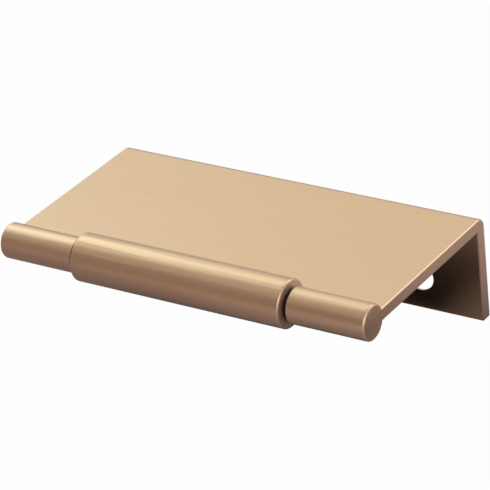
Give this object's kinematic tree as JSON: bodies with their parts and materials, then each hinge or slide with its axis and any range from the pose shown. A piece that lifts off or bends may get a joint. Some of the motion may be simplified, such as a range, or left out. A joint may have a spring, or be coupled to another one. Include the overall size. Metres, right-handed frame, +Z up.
{
  "type": "tab pull",
  "caption": "Edge-mounted drawer tab pull: flat plate over the drawer edge, screw flange behind, and a round bar with a thicker grip along the front.",
  "frame": {"origin": "midway between the two screw holes, on the flange face that bears on the drawer front", "axes": "+X along the pull, -Y towards the hand and the round bar, +Z up, away from the drawer's top edge"},
  "size_m": [0.0762, 0.043, 0.0236],
  "materials": {
    "satin_bronze": "brushed satin golden bronze, clear-coated"
  },
  "bodies": {
    "root": {"pull_body": "satin_bronze"}
  },
  "joints": []
}
